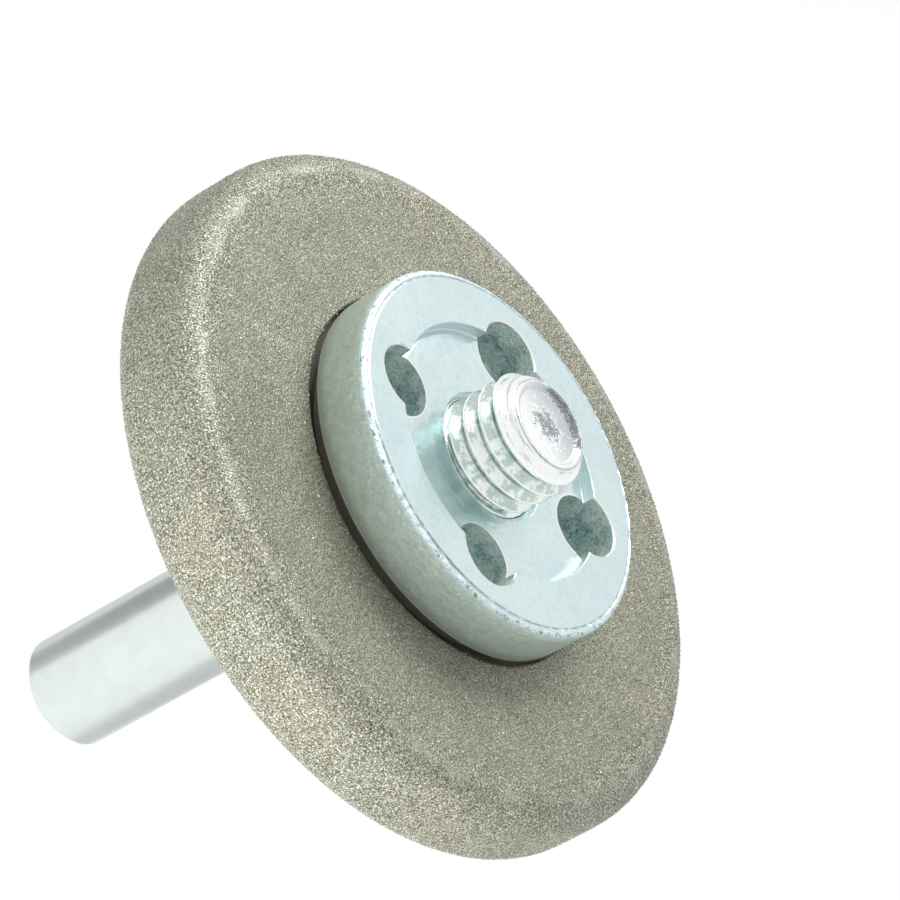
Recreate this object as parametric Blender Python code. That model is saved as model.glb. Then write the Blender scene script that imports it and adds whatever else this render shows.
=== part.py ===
"""Sharpening wheel on a drill arbor.

A coated steel grinding wheel is clamped between an inner flange and a round pin-spanner nut on a threaded
arbor. The common axis is +Z. The flat end of the shank is at z = 0 and the nut and stud point up.
Units are metres.
"""

import math

import bmesh
import bpy
from mathutils import Vector

# Wheel: a turned disc with a flat face and a shallow recess that the nut seats in
WHEEL_DIAMETER = 0.0560
WHEEL_THICKNESS = 0.0080
WHEEL_FACE_CORNER = 0.0025
WHEEL_BACK_CORNER = 0.0015
WHEEL_BORE_DIAMETER = 0.0160
WHEEL_BORE_CHAMFER = 0.0004
RECESS_DIAMETER = 0.0300
RECESS_DEPTH = 0.0015

# Lock nut: round, with a sunk middle disc, four pin holes and a smaller seat behind its rim
NUT_DIAMETER = 0.0300
NUT_THICKNESS = 0.0064
NUT_RIM_HEIGHT = 0.0047
NUT_EDGE_WIDTH = 0.0006
NUT_EDGE_DEPTH = 0.00045
NUT_BACK_EDGE = 0.0002
NUT_MIDDLE_DIAMETER = 0.0211
NUT_MIDDLE_DEPTH = 0.0010
NUT_GROOVE_DEPTH = 0.0005
NUT_GROOVE_WIDTH = 0.0001
NUT_GROOVE_BEVEL = 0.0007
NUT_STEP_EDGE = 0.00015
NUT_COUNTERSINK = 0.0003
PIN_CIRCLE_DIAMETER = 0.0200
PIN_HOLE_DIAMETER = 0.0054
PIN_HOLE_DEPTH = 0.0042
PIN_HOLE_COUNT = 4

# Stud: the threaded upper end of the arbor
THREAD_DIAMETER = 0.0097
THREAD_PITCH = 0.0015
THREAD_DEPTH = 0.0008
THREAD_LENGTH = 0.0118
THREAD_ROOT_SHARE = 0.15
THREAD_CREST_SHARE = 0.25
STUD_PROTRUSION = 0.0048
STUD_END_FLAT_DIAMETER = 0.0072
STUD_END_SLOPE = 1.0

# Shank and shoulder: the plain lower end of the arbor
SHANK_DIAMETER = 0.0090
SHANK_LENGTH = 0.0233
SHANK_END_CHAMFER = 0.0006
SHOULDER_DIAMETER = 0.0160
SHOULDER_HEIGHT = 0.0040
SHOULDER_CHAMFER = 0.0005

# Inner flange: the disc behind the wheel, with a spigot that centres the wheel
FLANGE_DIAMETER = 0.0300
FLANGE_THICKNESS = 0.0050
FLANGE_CHAMFER = 0.0006
SPIGOT_HEIGHT = 0.0030
SPIGOT_CHAMFER = 0.0004

# Clearances
SEAT_GAP = 0.0003
BORE_CLEARANCE = 0.0003
SEAT_CLEARANCE = 0.0014

# Facets
WHEEL_STEPS = 96
NUT_STEPS = 80
FLANGE_STEPS = 64
ARBOR_STEPS = 40
PIN_HOLE_STEPS = 24
CORNER_POINTS = 5
SHARP_ANGLE = math.radians(30.0)
WELD = 0.00002

# Heights, stacked from the flat end of the shank
SHOULDER_TOP = SHANK_LENGTH + SHOULDER_HEIGHT
FLANGE_BACK = SHOULDER_TOP + SEAT_GAP
FLANGE_FACE = FLANGE_BACK + FLANGE_THICKNESS
WHEEL_BACK = FLANGE_FACE + SEAT_GAP
WHEEL_FACE = WHEEL_BACK + WHEEL_THICKNESS
RECESS_FLOOR = WHEEL_FACE - RECESS_DEPTH
NUT_BACK = RECESS_FLOOR + SEAT_GAP
NUT_FACE = NUT_BACK + NUT_THICKNESS
STUD_TOP = NUT_FACE + STUD_PROTRUSION
THREAD_START = STUD_TOP - THREAD_LENGTH

# Radii that follow from a neighbour
STUD_BORE_RADIUS = THREAD_DIAMETER / 2 + BORE_CLEARANCE
SPIGOT_RADIUS = WHEEL_BORE_DIAMETER / 2 - BORE_CLEARANCE
NUT_SEAT_RADIUS = RECESS_DIAMETER / 2 - SEAT_CLEARANCE


def clear_scene():
    for existing in list(bpy.data.objects):
        bpy.data.objects.remove(existing, do_unlink=True)


def steel(name, colour, roughness, metallic):
    finish = bpy.data.materials.new(name)
    finish.use_nodes = True
    shader = finish.node_tree.nodes["Principled BSDF"]
    shader.inputs["Base Color"].default_value = (*colour, 1.0)
    shader.inputs["Roughness"].default_value = roughness
    shader.inputs["Metallic"].default_value = metallic
    return finish


def rounded_corner(centre_radius, centre_height, corner, start, end):
    """Points of an arc in the (radius, height) plane, with angles in degrees from the outward direction."""
    points = []
    for index in range(CORNER_POINTS + 1):
        angle = math.radians(start + (end - start) * index / CORNER_POINTS)
        radius = centre_radius + corner * math.cos(angle)
        height = centre_height + corner * math.sin(angle)
        points.append((radius, height))
    return points


def add_object(name, shape, finish):
    """Turn a bmesh into a named, smooth-shaded object in the scene."""
    mesh = bpy.data.meshes.new(name)
    shape.to_mesh(mesh)
    shape.free()
    mesh.shade_smooth()
    mesh.set_sharp_from_angle(angle=SHARP_ANGLE)
    mesh.materials.append(finish)
    piece = bpy.data.objects.new(name, mesh)
    bpy.context.scene.collection.objects.link(piece)
    return piece


def turned_ring(name, outline, steps, finish):
    """Spin a closed (radius, height) outline once round the Z axis."""
    shape = bmesh.new()
    points = [shape.verts.new((radius, 0.0, height)) for radius, height in outline]
    edges = []
    for index, point in enumerate(points):
        edges.append(shape.edges.new((point, points[(index + 1) % len(points)])))
    bmesh.ops.spin(
        shape,
        geom=points + edges,
        cent=Vector((0.0, 0.0, 0.0)),
        axis=Vector((0.0, 0.0, 1.0)),
        angle=2.0 * math.pi,
        steps=steps,
        use_merge=True,
    )
    bmesh.ops.recalc_face_normals(shape, faces=shape.faces)
    return add_object(name, shape, finish)


def make_wheel(finish):
    radius = WHEEL_DIAMETER / 2
    bore = WHEEL_BORE_DIAMETER / 2
    recess = RECESS_DIAMETER / 2
    face_corner = rounded_corner(
        radius - WHEEL_FACE_CORNER, WHEEL_FACE - WHEEL_FACE_CORNER, WHEEL_FACE_CORNER, 90.0, 0.0
    )
    back_corner = rounded_corner(
        radius - WHEEL_BACK_CORNER, WHEEL_BACK + WHEEL_BACK_CORNER, WHEEL_BACK_CORNER, 0.0, -90.0
    )
    outline = [
        (bore, RECESS_FLOOR - WHEEL_BORE_CHAMFER),
        (bore + WHEEL_BORE_CHAMFER, RECESS_FLOOR),
        (recess, RECESS_FLOOR),
        (recess, WHEEL_FACE),
        *face_corner,
        *back_corner,
        (bore + WHEEL_BORE_CHAMFER, WHEEL_BACK),
        (bore, WHEEL_BACK + WHEEL_BORE_CHAMFER),
    ]
    return turned_ring("grinding_wheel", outline, WHEEL_STEPS, finish)


def nut_outline():
    radius = NUT_DIAMETER / 2
    middle = NUT_MIDDLE_DIAMETER / 2
    disc_height = NUT_FACE - NUT_MIDDLE_DEPTH
    groove_height = disc_height - NUT_GROOVE_DEPTH
    rim_back = NUT_FACE - NUT_RIM_HEIGHT
    return [
        (STUD_BORE_RADIUS, disc_height - NUT_COUNTERSINK),
        (STUD_BORE_RADIUS + NUT_COUNTERSINK, disc_height),
        (middle - NUT_GROOVE_WIDTH - NUT_GROOVE_BEVEL, disc_height),
        (middle - NUT_GROOVE_WIDTH, groove_height),
        (middle, groove_height),
        (middle, NUT_FACE - NUT_STEP_EDGE),
        (middle + NUT_STEP_EDGE, NUT_FACE),
        (radius - NUT_EDGE_WIDTH, NUT_FACE),
        (radius, NUT_FACE - NUT_EDGE_DEPTH),
        (radius, rim_back + NUT_BACK_EDGE),
        (radius - NUT_BACK_EDGE, rim_back),
        (NUT_SEAT_RADIUS, rim_back),
        (NUT_SEAT_RADIUS, NUT_BACK + NUT_BACK_EDGE),
        (NUT_SEAT_RADIUS - NUT_BACK_EDGE, NUT_BACK),
        (STUD_BORE_RADIUS + NUT_BACK_EDGE, NUT_BACK),
        (STUD_BORE_RADIUS, NUT_BACK + NUT_BACK_EDGE),
    ]


def pin_cutter_mesh():
    """A cylinder as deep as a pin hole, standing out above the face of the nut by its own radius."""
    shape = bmesh.new()
    overshoot = PIN_HOLE_DIAMETER / 2
    bmesh.ops.create_cone(
        shape,
        cap_ends=True,
        segments=PIN_HOLE_STEPS,
        radius1=PIN_HOLE_DIAMETER / 2,
        radius2=PIN_HOLE_DIAMETER / 2,
        depth=PIN_HOLE_DEPTH + overshoot,
    )
    bmesh.ops.translate(shape, verts=shape.verts, vec=(0.0, 0.0, (overshoot - PIN_HOLE_DEPTH) / 2))
    mesh = bpy.data.meshes.new("pin_hole_cutter")
    shape.to_mesh(mesh)
    shape.free()
    return mesh


def make_nut(finish):
    nut = turned_ring("lock_nut", nut_outline(), NUT_STEPS, finish)
    cutter_mesh = pin_cutter_mesh()
    for index in range(PIN_HOLE_COUNT):
        angle = 2.0 * math.pi * index / PIN_HOLE_COUNT
        cutter = bpy.data.objects.new(f"pin_hole_cutter_{index + 1}", cutter_mesh)
        cutter.location = (
            PIN_CIRCLE_DIAMETER / 2 * math.cos(angle),
            PIN_CIRCLE_DIAMETER / 2 * math.sin(angle),
            NUT_FACE,
        )
        cutter.hide_render = True
        cutter.display_type = "WIRE"
        bpy.context.scene.collection.objects.link(cutter)
        hole = nut.modifiers.new(f"pin_hole_{index + 1}", "BOOLEAN")
        hole.operation = "DIFFERENCE"
        hole.solver = "EXACT"
        hole.object = cutter
    return nut


def make_flange(finish):
    radius = FLANGE_DIAMETER / 2
    spigot_top = FLANGE_FACE + SPIGOT_HEIGHT
    outline = [
        (STUD_BORE_RADIUS, FLANGE_BACK + FLANGE_CHAMFER),
        (STUD_BORE_RADIUS, spigot_top),
        (SPIGOT_RADIUS - SPIGOT_CHAMFER, spigot_top),
        (SPIGOT_RADIUS, spigot_top - SPIGOT_CHAMFER),
        (SPIGOT_RADIUS, FLANGE_FACE),
        (radius - FLANGE_CHAMFER, FLANGE_FACE),
        (radius, FLANGE_FACE - FLANGE_CHAMFER),
        (radius, FLANGE_BACK + FLANGE_CHAMFER),
        (radius - FLANGE_CHAMFER, FLANGE_BACK),
        (STUD_BORE_RADIUS + FLANGE_CHAMFER, FLANGE_BACK),
    ]
    return turned_ring("inner_flange", outline, FLANGE_STEPS, finish)


def thread_phases():
    """Shares of one pitch at which the flanks meet the root and the crest, with the depth share at each."""
    flank = (1.0 - THREAD_ROOT_SHARE - THREAD_CREST_SHARE) / 2
    crest_start = THREAD_ROOT_SHARE + flank
    crest_end = crest_start + THREAD_CREST_SHARE
    return [(0.0, 0.0), (THREAD_ROOT_SHARE, 0.0), (crest_start, 1.0), (crest_end, 1.0)]


def thread_rows(steps):
    """Rows of (radius, height) columns that climb one pitch a turn, held between the thread's two ends.

    Below its start the thread runs out into its root, and at the top it is cut by the cone of the end.
    """
    crest = THREAD_DIAMETER / 2
    root = crest - THREAD_DEPTH
    end_flat = STUD_END_FLAT_DIAMETER / 2
    turns = math.ceil(THREAD_LENGTH / THREAD_PITCH) + 2
    rows = []
    for turn in range(turns):
        for phase, share in thread_phases():
            row = []
            for step in range(steps):
                height = THREAD_START + THREAD_PITCH * (turn - 1 + phase + step / steps)
                radius = root + share * THREAD_DEPTH
                cone = end_flat + (STUD_TOP - height) / STUD_END_SLOPE
                radius = min(radius, cone)
                if height < THREAD_START + WELD:
                    height = THREAD_START
                    radius = root
                if height > STUD_TOP - WELD:
                    height = STUD_TOP
                    radius = end_flat
                row.append((radius, height))
            rows.append(row)
    return rows


def make_arbor(finish):
    """Plain rings up to the thread, then the helix, in one closed skin."""
    shank = SHANK_DIAMETER / 2
    shoulder = SHOULDER_DIAMETER / 2
    stud = THREAD_DIAMETER / 2
    plain = [
        (shank - SHANK_END_CHAMFER, 0.0),
        (shank, SHANK_END_CHAMFER),
        (shank, SHANK_LENGTH),
        (shoulder - SHOULDER_CHAMFER, SHANK_LENGTH),
        (shoulder, SHANK_LENGTH + SHOULDER_CHAMFER),
        (shoulder, SHOULDER_TOP - SHOULDER_CHAMFER),
        (shoulder - SHOULDER_CHAMFER, SHOULDER_TOP),
        (stud, SHOULDER_TOP),
        (stud, THREAD_START - THREAD_DEPTH),
    ]
    helix = thread_rows(ARBOR_STEPS)
    rows = [[point] * ARBOR_STEPS for point in plain] + helix
    shape = bmesh.new()
    grid = []
    for row in rows:
        ring = []
        for step, (radius, height) in enumerate(row):
            angle = 2.0 * math.pi * step / ARBOR_STEPS
            ring.append(shape.verts.new((radius * math.cos(angle), radius * math.sin(angle), height)))
        grid.append(ring)
    rows_per_pitch = len(thread_phases())
    first_helix_row = len(plain)
    for index in range(len(grid) - 1):
        for step in range(ARBOR_STEPS - 1):
            low, high = grid[index], grid[index + 1]
            shape.faces.new((low[step], low[step + 1], high[step + 1], high[step]))
    last = ARBOR_STEPS - 1
    for index in range(first_helix_row):
        low, high = grid[index], grid[index + 1]
        shape.faces.new((low[last], low[0], high[0], high[last]))
    for index in range(first_helix_row, len(grid) - rows_per_pitch - 1):
        low, high = grid[index], grid[index + 1]
        next_low, next_high = grid[index + rows_per_pitch], grid[index + rows_per_pitch + 1]
        shape.faces.new((low[last], next_low[0], next_high[0], high[last]))
    bmesh.ops.remove_doubles(shape, verts=shape.verts, dist=WELD)
    bmesh.ops.holes_fill(shape, edges=[edge for edge in shape.edges if edge.is_boundary])
    bmesh.ops.recalc_face_normals(shape, faces=shape.faces)
    return add_object("arbor", shape, finish)


def main():
    clear_scene()
    make_wheel(steel("abrasive_coating", colour=(0.29, 0.28, 0.21), roughness=0.75, metallic=0.3))
    make_nut(steel("zinc_plating", colour=(0.70, 0.78, 0.79), roughness=0.3, metallic=0.9))
    make_flange(steel("flange_plating", colour=(0.66, 0.73, 0.74), roughness=0.35, metallic=0.9))
    make_arbor(steel("turned_steel", colour=(0.80, 0.82, 0.82), roughness=0.25, metallic=0.95))


main()
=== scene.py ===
"""Sharpening wheel on a drill arbor: fine surfaces, finishes, camera and light.

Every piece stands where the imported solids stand, and takes its sizes from their boxes and from the named
values below. The common axis is +Z, the shank's flat end is at z = 0, and units are metres.
"""

import math

import bmesh
import bpy
from mathutils import Matrix, Vector, noise


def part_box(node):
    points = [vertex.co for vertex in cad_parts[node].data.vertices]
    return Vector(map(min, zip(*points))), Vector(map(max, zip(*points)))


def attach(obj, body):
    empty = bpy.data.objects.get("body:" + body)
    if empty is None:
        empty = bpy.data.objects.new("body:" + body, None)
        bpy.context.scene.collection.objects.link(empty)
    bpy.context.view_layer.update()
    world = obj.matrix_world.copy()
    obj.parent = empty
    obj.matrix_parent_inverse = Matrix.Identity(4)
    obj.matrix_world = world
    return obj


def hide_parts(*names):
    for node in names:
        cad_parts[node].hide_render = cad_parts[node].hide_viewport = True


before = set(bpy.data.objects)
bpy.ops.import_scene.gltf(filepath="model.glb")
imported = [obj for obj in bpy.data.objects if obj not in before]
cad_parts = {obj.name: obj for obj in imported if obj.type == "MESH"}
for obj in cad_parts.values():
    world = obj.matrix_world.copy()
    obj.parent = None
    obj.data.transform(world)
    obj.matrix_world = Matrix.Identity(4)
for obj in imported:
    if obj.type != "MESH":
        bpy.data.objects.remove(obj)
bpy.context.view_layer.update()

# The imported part, which gives the main radii and heights
WHEEL_LOW, WHEEL_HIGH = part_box("grinding_wheel")
NUT_LOW, NUT_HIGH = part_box("lock_nut")
FLANGE_LOW, FLANGE_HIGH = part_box("inner_flange")
STUD_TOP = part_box("arbor")[1].z

WHEEL_RADIUS, WHEEL_FACE, WHEEL_BACK = WHEEL_HIGH.x, WHEEL_HIGH.z, WHEEL_LOW.z
NUT_RADIUS, NUT_FACE, NUT_BACK = NUT_HIGH.x, NUT_HIGH.z, NUT_LOW.z
FLANGE_RADIUS, FLANGE_TOP, FLANGE_BACK = FLANGE_HIGH.x, FLANGE_HIGH.z, FLANGE_LOW.z

# Wheel
WHEEL_FACE_CORNER = 0.0025
WHEEL_BACK_CORNER = 0.0019
WHEEL_BORE_RADIUS = 0.0080
WHEEL_BORE_EDGE = 0.0004
RECESS_RADIUS = 0.0150
RECESS_DEPTH = 0.0015
RECESS_EDGE = 0.00025
GRIT_HEIGHT = 0.00007
COATED_BACK_RADIUS = 0.0185
RIM_COAT_HEIGHT = 0.005
RUBBED_RADIUS = 0.0235
RUBBED_END_RADIUS = 0.0252
# A pale ring along the wheel's front corner, painted there as a highlight
HIGHLIGHT_RING_RADIUS = 0.0260
HIGHLIGHT_RING_WIDTH = 0.0008
HIGHLIGHT_RING_DEPTH = 0.0010
SCUFF_START = Vector((-0.0245, -0.0006))
SCUFF_END = Vector((-0.0165, 0.0007))
SCUFF_WIDTH = 0.0007
# From this height over the wheel's back up to twice it, the bare steel turns duller and is painted darker as
# shade
RECESS_SHADE_HEIGHT = 0.0020
GRAIN_SIZE = 0.00019
GRAIN_TONE_SIZE = 0.00012
CRYSTAL_SPACING = 0.00020
CRYSTAL_CROWD = 30e6
SMALLEST_CRYSTAL = 0.00005
LARGEST_CRYSTAL = 0.00010
FIRST_SEED = 11
GRADE_SEED = 7

# Lock nut
NUT_RIM_HEIGHT = 0.0047
NUT_EDGE_WIDTH = 0.00045
NUT_EDGE_DEPTH = 0.00035
NUT_SEAT_RADIUS = 0.0136
NUT_MIDDLE_RADIUS = 0.01055
NUT_MIDDLE_DEPTH = 0.00095
NUT_GROOVE_DEPTH = 0.00012
NUT_GROOVE_BEVEL = 0.0005
NUT_GROOVE_FLOOR = 0.00005
NUT_BORE_RADIUS = 0.00490
NUT_COUNTERSINK = 0.00040
NUT_SOFT_EDGE = 0.00012
NUT_BURR_WIDTH = 0.0003
NUT_BURR_DIP = 0.00007
NUT_BURR_RAGGED = 0.00008
NUT_BURR_LUMPS = 0.0006
# Within this height of its foot the nut's side is painted darker as shade
NUT_FOOT_SHADE_HEIGHT = 0.0013
# Width of the dark line painted as shade along the dip
NUT_DIP_WIDTH = 0.00016
NUT_FADE = 0.0001
NUT_RIPPLE_INSET = 0.0012
NUT_FLECKS_LOW = 0.0032
NUT_FLECKS_TOP = 0.0010
PIN_CIRCLE_RADIUS = 0.0100
PIN_HOLE_RADIUS = 0.0027
PIN_HOLE_DEPTH = 0.0042
PIN_HOLE_LIP = 0.00012
# Fade of the highlight painted on each pin hole's lip
PIN_HOLE_HIGHLIGHT_FADE = 0.00003
PIN_HOLE_FLOOR_EDGE = 0.0004
PIN_HOLE_RUBBED_WIDTH = 0.0010
# Within this depth of the face the hole walls are painted pale as light, fading out by twice it
PIN_HOLE_LIT_DEPTH = 0.0010
PIN_HOLE_COUNT = 4

# Thread of the stud
THREAD_RADIUS = 0.00485
THREAD_DEPTH = 0.00066
THREAD_PITCH = 0.0015
THREAD_START = STUD_TOP - 0.0118
THREAD_COVERED = NUT_FACE - NUT_MIDDLE_DEPTH - NUT_COUNTERSINK
THREAD_COVER_FADE = 0.0003
THREAD_ROOT_SHARE = 0.10
THREAD_CREST_SHARE = 0.06
CREST_ROUNDING = 0.25
ROOT_ROUNDING = 0.12
END_FLAT_RADIUS = 0.00365
END_ROUNDING = 0.0005
END_LIP = 0.00025
END_DISH_DEPTH = 0.0003
END_DISH_WALL = 0.0004
END_DEPTH = 0.0008
END_FADE = 0.0002
END_RING_WIDTH = 0.00004
END_RING_FADE = 0.00010
# The stud's end is painted darker as shade towards this turn: a crescent by its dish over the first span and
# radii, and a gradient across the whole end over the last span
END_SHADE_TURN = math.radians(50.0)
END_SHADE_SPAN = (0.0012, 0.0030)
END_SHADE_RADII = (0.0022, 0.0033)
END_SHADE_GRADIENT = (-0.003, 0.003)
END_PIT_RADII = (0.0026, 0.0004)
# Radii over which the thread's roots are painted darker as shade
ROOT_SHADE_RADII = (0.0039, 0.0041)
CHAMFER_FADE = 0.0004

# Shank and shoulder
SHANK_RADIUS = 0.0045
SHANK_LENGTH = 0.0233
SHANK_END_EDGE = 0.0006
SHANK_END_ROUNDING = 0.0003
SHOULDER_RADIUS = 0.0080
SHOULDER_HEIGHT = 0.0040
SHOULDER_EDGE = 0.0005

# Inner flange
FLANGE_EDGE = 0.0006
SPIGOT_RADIUS = 0.0077
SPIGOT_HEIGHT = 0.0030
SPIGOT_EDGE = 0.0004

# Softness of a turned edge
TURNED_EDGE = 0.0001

# Fineness of the meshes
TURNED_STEPS = 240
NUT_STEPS = 480
PIN_HOLE_STEPS = 72
THREAD_STEPS = 160
THREAD_ROWS = 24
END_ROWS = 24
ARC_POINTS = 6
SHARP_ANGLE = math.radians(35.0)
WELD = 0.000001

# Camera: the nut's centre lies on this pixel of a 900 pixel square, at this scale
IMAGE_SIZE = 900.0
NUT_CENTRE_PIXEL = (501.5, 451.0)
PIXELS_PER_METRE = 13480.0
CAMERA_DISTANCE = 0.450
AXIS_TILT = math.radians(57.7)
AXIS_ROLL = math.radians(29.3)
VIEW_AZIMUTH = math.radians(53.0)
SENSOR_WIDTH = 36.0
CLIP_START = 0.01

# Studio
FLOOR_HEIGHT = -0.2
FLOOR_SIZE = 6.0
FLOOR_GLOW = 0.92
FLOOR_WHITE = 1.03
AMBIENT = 0.35


class Value:
    """One socket of a node tree. Arithmetic with it adds Math nodes."""

    def __init__(self, graph, socket):
        self.graph = graph
        self.socket = socket

    def output(self, name):
        """Another output of the same node."""
        return Value(self.graph, self.graph.find(self.socket.node.outputs, name))

    def __add__(self, other):
        return self.graph.maths("ADD", self, other)

    def __radd__(self, other):
        return self.graph.maths("ADD", other, self)

    def __sub__(self, other):
        return self.graph.maths("SUBTRACT", self, other)

    def __rsub__(self, other):
        return self.graph.maths("SUBTRACT", other, self)

    def __mul__(self, other):
        return self.graph.maths("MULTIPLY", self, other)

    def __rmul__(self, other):
        return self.graph.maths("MULTIPLY", other, self)

    def __truediv__(self, other):
        return self.graph.maths("DIVIDE", self, other)

    def __rtruediv__(self, other):
        return self.graph.maths("DIVIDE", other, self)

    def __pow__(self, other):
        return self.graph.maths("POWER", self, other)

    def __abs__(self):
        return self.graph.maths("ABSOLUTE", self)


class Graph:
    """A node tree that is written as expressions."""

    def __init__(self, tree):
        self.tree = tree

    @staticmethod
    def find(sockets, key):
        """A socket by its place, its identifier or its name."""
        if isinstance(key, int):
            return sockets[key]
        for socket in sockets:
            if socket.identifier == key:
                return socket
        return sockets[key]

    def add(self, kind, settings=None, sockets=None, output=0):
        """A node of this kind, with its settings made first and then its sockets set or linked."""
        node = self.tree.nodes.new(kind)
        for name, setting in (settings or {}).items():
            if name == "stops":
                self.set_stops(node.color_ramp, setting)
            else:
                setattr(node, name, setting)
        for key, value in (sockets or {}).items():
            socket = self.find(node.inputs, key)
            if isinstance(value, Value):
                self.tree.links.new(value.socket, socket)
            else:
                socket.default_value = value
        return Value(self, self.find(node.outputs, output)) if node.outputs else node

    @staticmethod
    def set_stops(ramp, stops):
        """Gives a colour ramp these stops, as (position, colour)."""
        while len(ramp.elements) < len(stops):
            ramp.elements.new(0.5)
        for element, (position, colour) in zip(ramp.elements, stops):
            element.position = position
            element.color = (*colour, 1.0)

    def maths(self, operation, *values):
        """A Math node that works on these values."""
        sockets = dict(enumerate(values))
        return self.add("ShaderNodeMath", {"operation": operation}, sockets)

    def step(self, value, low, high):
        """0 below low and 1 above high, with a smooth climb between them."""
        settings = {"interpolation_type": "SMOOTHSTEP"}
        sockets = {"Value": value, "From Min": low, "From Max": high}
        return self.add("ShaderNodeMapRange", settings, sockets)

    def vector(self, x, y, z):
        """Three values as one vector."""
        return self.add("ShaderNodeCombineXYZ", sockets={"X": x, "Y": y, "Z": z})

    def blend(self, share, first, second):
        """Two colours, mixed."""
        sockets = {"Factor_Float": share, "A_Color": first, "B_Color": second}
        for key in ("A_Color", "B_Color"):
            if isinstance(sockets[key], tuple):
                sockets[key] = (*sockets[key], 1.0)
        return self.add("ShaderNodeMix", {"data_type": "RGBA"}, sockets, "Result_Color")


class Finish(Graph):
    """A material with one Principled shader, patterned in the object's own coordinates."""

    def __init__(self, name):
        self.material = bpy.data.materials.new(name)
        self.material.use_nodes = True
        super().__init__(self.material.node_tree)
        self.shader = self.tree.nodes["Principled BSDF"]
        self.place = self.add("ShaderNodeTexCoord", output="Object")
        axes = self.add("ShaderNodeSeparateXYZ", sockets={"Vector": self.place})
        self.x, self.y, self.z = (axes.output(name) for name in "XYZ")
        self.radius = self.maths("SQRT", self.x * self.x + self.y * self.y)

    def surface(self, **sockets):
        """Sets the shader's sockets, named with underscores for spaces."""
        for name, value in sockets.items():
            socket = self.shader.inputs[name.replace("_", " ")]
            if isinstance(value, Value):
                self.tree.links.new(value.socket, socket)
            else:
                socket.default_value = (*value, 1.0) if isinstance(value, tuple) else value
        return self.material

    def noise(self, size, detail=2.0, roughness=0.5, place=None):
        """Soft noise with lumps about this size, from 0 to 1."""
        sockets = {
            "Vector": place or self.place,
            "Scale": 1.0 / size,
            "Detail": detail,
            "Roughness": roughness,
        }
        return self.add("ShaderNodeTexNoise", sockets=sockets, output="Fac")

    def cells(self, size, place=None):
        """Cells about this size, as the distance from their middles."""
        sockets = {"Vector": place or self.place, "Scale": 1.0 / size}
        return self.add("ShaderNodeTexVoronoi", {"feature": "F1"}, sockets, "Distance")

    def rings(self, scale, distortion):
        """Turning marks, as wavy rings round the axis."""
        settings = {"wave_type": "RINGS", "rings_direction": "Z"}
        sockets = {"Vector": self.place, "Scale": scale, "Distortion": distortion, "Detail": 2.0}
        return self.add("ShaderNodeTexWave", settings, sockets, "Fac")

    def bump(self, height, depth):
        """The normal of a surface that rises by this depth where the height goes from 0 to 1."""
        sockets = {"Height": height, "Distance": depth, "Strength": 1.0}
        return self.add("ShaderNodeBump", sockets=sockets)


def new_object(name, data):
    """An object in the scene, at the origin."""
    made = bpy.data.objects.new(name, data)
    bpy.context.scene.collection.objects.link(made)
    return made


def rounded_outline(corners):
    """Points of an outline whose corners are (radius, height, rounding), with an arc at each rounded one."""
    points = []
    for index, (radius, height, rounding) in enumerate(corners):
        corner = Vector((radius, height))
        if rounding == 0.0:
            points.append(corner)
            continue
        before = (Vector(corners[index - 1][:2]) - corner).normalized()
        after = (Vector(corners[(index + 1) % len(corners)][:2]) - corner).normalized()
        half = before.angle(after) / 2
        centre = corner + (before + after).normalized() * rounding / math.sin(half)
        start = corner + before * rounding / math.tan(half) - centre
        end = corner + after * rounding / math.tan(half) - centre
        first = math.atan2(start.y, start.x)
        sweep = math.remainder(math.atan2(end.y, end.x) - first, math.tau)
        for step in range(ARC_POINTS + 1):
            angle = first + sweep * step / ARC_POINTS
            points.append(centre + rounding * Vector((math.cos(angle), math.sin(angle))))
    return points


def swept_bands(outline, pairs, steps):
    """A bmesh of the bands that pairs of an outline's points sweep round the axis, in a fixed order."""
    shape = bmesh.new()
    rings = []
    for radius, height in outline:
        turns = [math.tau * step / steps for step in range(steps if radius > WELD else 1)]
        rings.append([
            shape.verts.new((radius * math.cos(turn), radius * math.sin(turn), height)) for turn in turns
        ])
    for first, second in pairs:
        one = rings[first]
        other = rings[second]
        for step in range(steps):
            corners = [
                one[step % len(one)],
                one[(step + 1) % len(one)],
                other[(step + 1) % len(other)],
                other[step % len(other)],
            ]
            shape.faces.new(tuple(dict.fromkeys(corners)))
    return shape


def turned_shape(outline, steps, closed=True):
    """A bmesh of an outline turned round the axis. An open outline starts and ends on the axis."""
    count = len(outline) if closed else len(outline) - 1
    pairs = [(index, (index + 1) % len(outline)) for index in range(count)]
    shape = swept_bands(outline, pairs, steps)
    bmesh.ops.recalc_face_normals(shape, faces=shape.faces)
    return shape


def piece_from(shape, name, *finishes):
    """A named object made of a bmesh, shaded smooth up to the sharp angle."""
    mesh = bpy.data.meshes.new(name)
    shape.to_mesh(mesh)
    shape.free()
    mesh.shade_smooth()
    mesh.set_sharp_from_angle(angle=SHARP_ANGLE)
    for finish in finishes:
        mesh.materials.append(finish)
    return new_object(name, mesh)


def settle(piece):
    """Turns a piece with modifiers into a plain mesh of the same name."""
    depsgraph = bpy.context.evaluated_depsgraph_get()
    mesh = bpy.data.meshes.new_from_object(piece.evaluated_get(depsgraph))
    piece.modifiers.clear()
    old = piece.data
    piece.data = mesh
    bpy.data.meshes.remove(old)
    mesh.name = piece.name
    return piece


def even_normals(piece):
    """Keeps flat faces flat beside their rounded edges."""
    piece.modifiers.new("even_normals", "WEIGHTED_NORMAL").keep_sharp = True
    return settle(piece)


def fit_piece(piece, slot, *nodes):
    """Fixes a piece to the part and hides the solids it stands for."""
    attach(piece, "root")
    if nodes:
        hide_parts(*nodes)


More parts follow.
